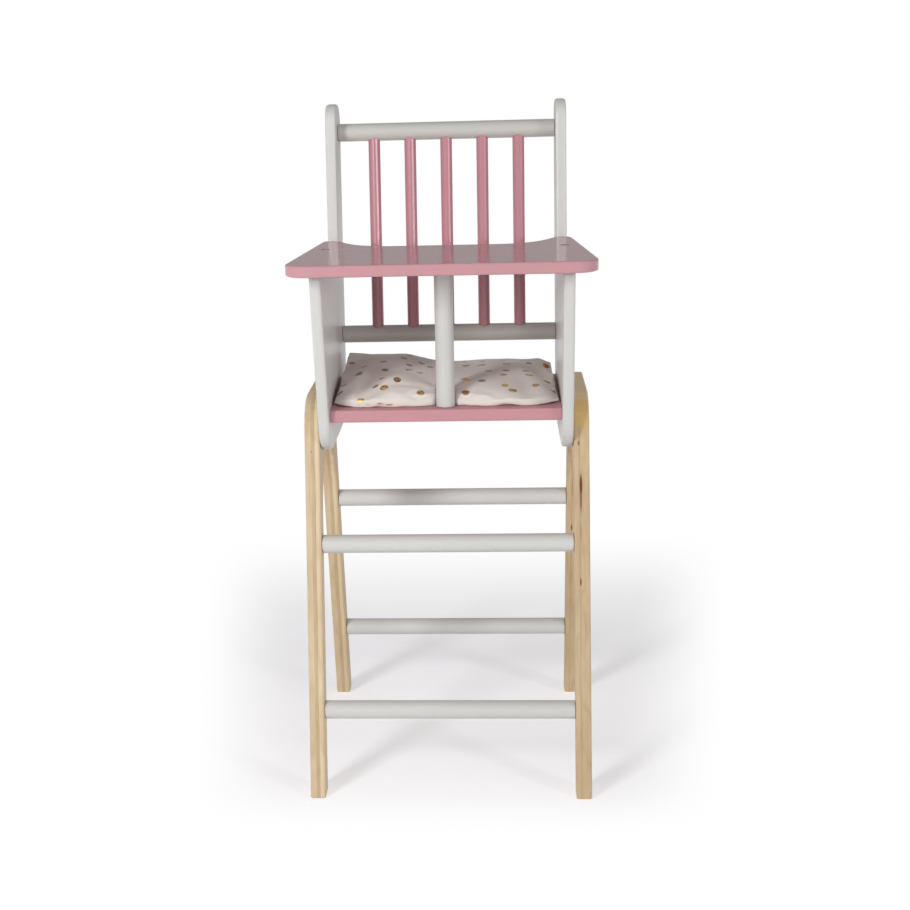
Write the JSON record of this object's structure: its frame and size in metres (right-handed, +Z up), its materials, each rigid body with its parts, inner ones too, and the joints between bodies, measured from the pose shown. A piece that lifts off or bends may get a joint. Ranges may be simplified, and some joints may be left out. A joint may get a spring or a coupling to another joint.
{
  "type": "doll high chair",
  "caption": "Wooden doll high chair: splayed plywood leg frames, railed reclined back, fixed tray on a centre post, and a loose seat cushion.",
  "frame": {"origin": "on the floor, midway between the four feet", "axes": "+Z up, -Y towards the front where the tray is, +X to the right as seen from the front"},
  "size_m": [0.246, 0.2432, 0.57],
  "materials": {
    "white_paint": "satin painted",
    "pink_paint": "gloss painted",
    "spindle_paint": "satin painted",
    "pine_plywood": "clear lacquer",
    "cotton": "woven, printed dots",
    "zinc_steel": "zinc plated"
  },
  "bodies": {
    "chair": {"side_panel_left": "white_paint", "side_panel_right": "white_paint", "top_back_rail": "white_paint", "lower_back_rail": "white_paint", "back_spindle_1": "spindle_paint", "back_spindle_2": "spindle_paint", "back_spindle_3": "spindle_paint", "back_spindle_4": "spindle_paint", "back_spindle_5": "spindle_paint", "seat_board": "pink_paint", "tray": "pink_paint", "centre_post": "white_paint", "leg_frame_left": "pine_plywood", "leg_frame_right": "pine_plywood", "front_upper_rail": "white_paint", "front_lower_rail": "white_paint", "rear_upper_rail": "white_paint", "rear_lower_rail": "white_paint", "tray_screw_left": "zinc_steel", "tray_screw_right": "zinc_steel", "centre_post_screw": "zinc_steel", "seat_screw_front_left": "zinc_steel", "seat_screw_front_right": "zinc_steel", "seat_screw_rear_left": "zinc_steel", "seat_screw_rear_right": "zinc_steel", "front_upper_rail_screw_left": "zinc_steel", "front_upper_rail_screw_right": "zinc_steel", "front_lower_rail_screw_left": "zinc_steel", "front_lower_rail_screw_right": "zinc_steel", "rear_upper_rail_screw_left": "zinc_steel", "rear_upper_rail_screw_right": "zinc_steel", "rear_lower_rail_screw_left": "zinc_steel", "rear_lower_rail_screw_right": "zinc_steel", "top_back_rail_screw_left": "zinc_steel", "top_back_rail_screw_right": "zinc_steel", "lower_back_rail_screw_left": "zinc_steel", "lower_back_rail_screw_right": "zinc_steel"},
    "cushion": {"seat_cushion": "cotton"}
  },
  "joints": [
    {"name": "cushion_pull", "type": "slide", "parent": "chair", "child": "cushion", "axis": [0, 1, 0], "range_m": [0, 0.14]}
  ]
}
